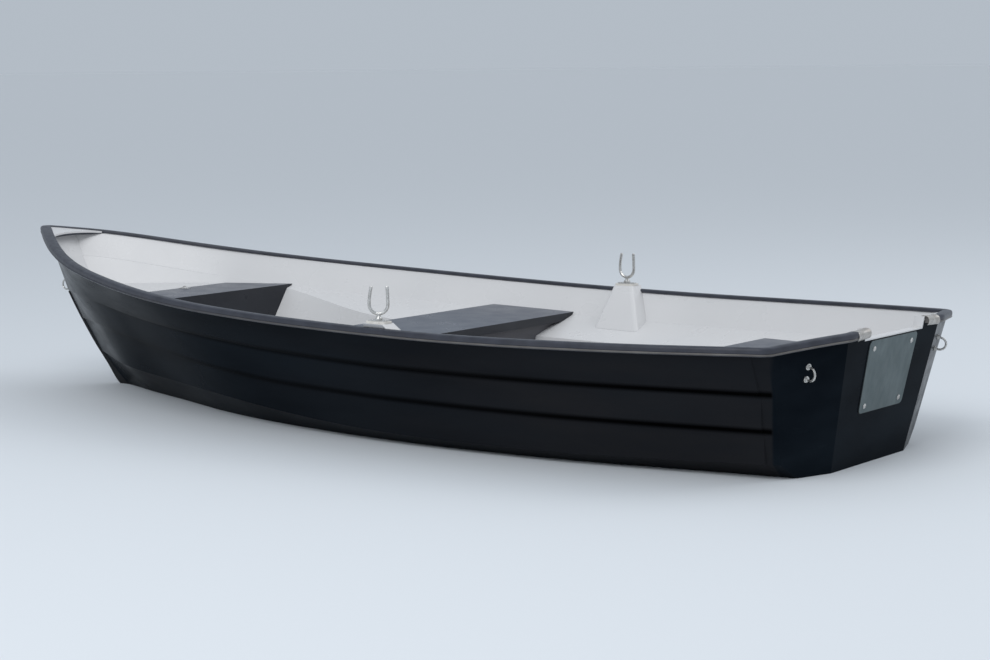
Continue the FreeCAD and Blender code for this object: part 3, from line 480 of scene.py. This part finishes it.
sides = [rimAt(0, x) for x in rail["stations"]]
path = eased([*rail["nose"], *sides, *rail["corner"]], rail["runParts"])
path += [rimAt(1, y) for y in rail["halfWidths"]]
halfRings = []
for index, here in enumerate(path):
    before = path[index - 1] if index else Vector((path[1].x, -path[1].y, path[1].z))
    after = path[min(index + 1, len(path) - 1)]
    if index == len(path) - 1:
        after = here + (here - before)
    run = (after - before).to_2d().normalized()
    out = Vector((-run.y, run.x, 0))
    fat = rail["fat"] * partWay(here.x, *rail["fatAlong"])
    aft = partWay(here.x, *rail["shiftAlong"])
    ring = []
    for across, up in rail["section"]:
        reach = across / 1000 + rail["shift"] * aft
        if across > rail["outer"]:
            reach += fat
        if across < rail["inner"] and up < 0:
            up += (rail["legRise"] - up) * aft
        ring.append(here + out * reach + Vector((0, 0, up / 1000)))
    halfRings.append(ring)
portRings = [[Vector((p.x, -p.y, p.z)) for p in ring] for ring in halfRings[:0:-1]]
strip = bmesh.new()
swept(strip, portRings + halfRings, marks=rail["bead"])
# the bead's sides take the lighter material, a painted highlight
finished("rubRailStrip", strip, "rail_rubber", ("rub_rail",)).data.materials.append(mats["rail_bead_highlight"])
print("rub rail")

# the caps that clamp the ends of the rail, open below over the rim, each with a plug of rail inside
cap = {
    "x": 2.0342, "z": 0.4470, "wide": 0.0195, "tall": 0.0178, "leg": 0.0135, "wall": 0.0015,
    "drop": 0.045,  # how fast the cap falls outwards
    "near": 0.2058, "far": 0.2860, "tuck": (0.62, 0.9), "knee": 0.4, "fullness": 0.85, "steps": 16,
    "rib": 0.0005, "ribEdges": (0.0012, 0.0045, 0.0058),
    "plugLow": 0.4400, "plugGap": 0.0002, "plugEnds": (0.004, 0.042)}


def arch(grow, y, low=None):
    # the outline of an upside-down U, from the fore leg over the top to the aft leg; with low its legs
    # are straight and end there
    wide, tall = cap["wide"] + grow, cap["tall"] + grow
    middle = cap["z"] - cap["drop"] * (y - cap["near"])
    foot = middle - cap["leg"] if low is None else low
    tuck = cap["tuck"] if low is None else (1, 1)
    knee = foot + cap["knee"] * (middle - foot)
    points = [(cap["x"] - wide * tuck[0], foot), (cap["x"] - wide * tuck[1], knee)]
    for step in range(cap["steps"] + 1):
        angle = math.pi - math.pi * step / cap["steps"]
        across, up = math.cos(angle), math.sin(angle)
        bulge = math.copysign(abs(across) ** cap["fullness"], across)
        points.append((cap["x"] + wide * bulge, middle + tall * up ** cap["fullness"]))
    return points + [(cap["x"] + wide * tuck[1], knee), (cap["x"] + wide * tuck[0], foot)]


rise, crest, fall = cap["ribEdges"]
swells = ((0.0, 0.0), (rise, cap["rib"]), (crest, cap["rib"]), (fall, 0.0))
along = [(cap["near"] + inset, swell) for inset, swell in swells]
along += [(cap["far"] - inset, swell) for inset, swell in swells[::-1]]
for label, side in (("port", -1), ("starboard", 1)):
    sleeve = bmesh.new()
    rings = []
    for y, swell in along:
        rings.append([Vector((px, side * y, pz)) for px, pz in arch(swell, y) + arch(-cap["wall"], y)[::-1]])
    swept(sleeve, rings)
    finished("railCap_" + label, sleeve, "grey_plastic", ("rail_end_" + label,))
    plug = bmesh.new()
    rings = []
    for y in (cap["near"] + cap["plugEnds"][0], cap["far"] - cap["plugEnds"][1]):
        section = arch(-cap["wall"] - cap["plugGap"], y, cap["plugLow"])
        rings.append([Vector((px, side * y, pz)) for px, pz in section])
    swept(plug, rings)
    finished("railPlug_" + label, plug, "grey_plastic").data.materials[0] = mats["rail_bead_highlight"]
print("rail caps")

# a dark strip under the fore deck's hollow edge stands in for the shade there, a painted shadow; it is found
# on planes along the boat at the half widths
deckEdge = {
    "halfWidths": (0.150, 0.138, 0.126, 0.100, 0.078, 0.052, 0.026, 0.0005), "top": 0.0006, "deep": 0.008,
    "thick": 0.004, "inset": 0.001, "round": 0.0005,
    "tip": 0.15, "taper": 0.07}  # share of the depth at the ends, and the width that it grows over


def deckAt(y):
    cuts = cutsAt("bow_deck", 1, y)
    reach = max(cut.x for cut in cuts)
    return reach, y, min(cut.z for cut in cuts if cut.x > reach - deckEdge["thick"])


shadowStrip = bmesh.new()
half = [deckAt(y) for y in deckEdge["halfWidths"]]
line = [(x, -y, z) for x, y, z in half] + half[-2::-1]
rings = []
for x, y, under in line:
    high = under + deckEdge["top"]
    low = high - deckEdge["deep"] * min(1.0, deckEdge["tip"] + (half[0][1] - abs(y)) / deckEdge["taper"])
    front = x - deckEdge["inset"]
    back = front - deckEdge["thick"]
    nib = deckEdge["round"]
    corners = ((front, high), (front + nib, low + 2 * nib), (front - nib, low), (back, low), (back, high))
    rings.append([Vector((px, y, pz)) for px, pz in corners])
swept(shadowStrip, rings)
finished("deckShadowStrip", shadowStrip, "rail_rubber")
print("deck trim")

# the folding pad eye on the bow seat: a bevelled base, two screws and a hoop of rod
padEye = {
    "long": 0.022, "wide": 0.016, "corner": 0.006, "thick": 0.0016, "top": 0.0024, "taper": (0.94, 0.925),
    "screws": 0.0155, "hoop": 0.0095, "foot": 0.0022, "rise": 0.0066, "lean": 0.004, "rod": 0.0021,
    "steps": 16, "sides": 10}
low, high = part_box("bow_seat_fitting")
seat = Vector(((low.x + high.x) / 2, (low.y + high.y) / 2, low.z))
latch = bmesh.new()
long, wide = padEye["long"], padEye["wide"]
base = roundedOutline(((-long, -wide), (long, -wide), (long, wide), (-long, wide)), padEye["corner"], 0)
rings = []
for (fore, out), height in (((1, 1), 0.0), ((1, 1), padEye["thick"]), (padEye["taper"], padEye["top"])):
    rings.append([seat + Vector((p.x * fore, p.y * out, height)) for p in base])
swept(latch, rings)
for end in (-1, 1):
    spot = seat + Vector((end * padEye["screws"], 0, padEye["top"]))
    turned(latch, sunkHead, spot, (0, 0, 1), hexed=(4, 5))
hoop = []
for step in range(padEye["steps"] + 1):
    angle = math.pi * step / padEye["steps"]
    lean = padEye["lean"] * (math.sin(angle) - 1)
    hoop.append(seat + Vector((padEye["hoop"] * math.cos(angle), lean,
                               padEye["foot"] + padEye["rise"] * math.sin(angle))))
rings = []
turns = [math.tau * side / padEye["sides"] for side in range(padEye["sides"])]
for index, spot in enumerate(hoop):
    run = (hoop[min(index + 1, padEye["steps"])] - hoop[max(index - 1, 0)]).normalized()
    flat = run.cross(Vector((0, 1, 0))).normalized()
    edge = run.cross(flat)
    rings.append([spot + padEye["rod"] * (flat * math.cos(turn) + edge * math.sin(turn)) for turn in turns])
swept(latch, rings)
finished("seatPadEye", latch, "stainless", ("bow_seat_fitting",))
print("seat pad eye")

# floor, backdrop and light
floorLook = {"Base Color": (0.655, 0.695, 0.735, 1), "Roughness": 0.7, "Specular IOR Level": 0.1}
bpy.ops.mesh.primitive_plane_add(size=3000)
floor = bpy.context.object
floor.name = "studioFloor"
paint = bpy.data.materials.new("floorPaint")
paint.use_nodes = True
for key, value in floorLook.items():
    paint.node_tree.nodes["Principled BSDF"].inputs[key].default_value = value
floor.data.materials.append(paint)

lighting = {
    "sky": (0.86, 0.90, 0.95), "strength": 0.80, "backdrop": (0.455, 0.505, 0.563), "aim": (0, 0, 0.2),
    "lamps": (("keyPanel", (1.5, -6.5, 7), 330, 6), ("fillPanel", (5, 5, 6), 130, 5))}  # place, power, size
world = bpy.data.worlds.new("studioWorld")
scene.world = world
world.use_nodes = True
tree = world.node_tree
sky = tree.nodes["Background"]
sky.inputs[0].default_value = (*lighting["sky"], 1)
sky.inputs[1].default_value = lighting["strength"]
far = add(tree, "ShaderNodeBackground", {0: (*lighting["backdrop"], 1), 1: 1.0})
rays = add(tree, "ShaderNodeLightPath").outputs
seen = maths(tree, "MAXIMUM", rays["Is Camera Ray"], rays["Is Glossy Ray"])
seen = maths(tree, "MAXIMUM", seen, rays["Is Transmission Ray"])
choice = add(tree, "ShaderNodeMixShader", {0: seen, 1: sky.outputs[0], 2: far.outputs[0]})
tree.links.new(choice.outputs[0], tree.nodes["World Output"].inputs[0])
for name, place, power, width in lighting["lamps"]:
    light = bpy.data.lights.new(name, "AREA")
    light.energy = power
    light.size = width
    lamp = bpy.data.objects.new(name, light)
    lamp.location = place
    lamp.rotation_euler = (Vector(lighting["aim"]) - Vector(place)).to_track_quat("-Z", "Y").to_euler()
    scene.collection.objects.link(lamp)
scene.view_settings.view_transform = "Standard"
print("floor and light")
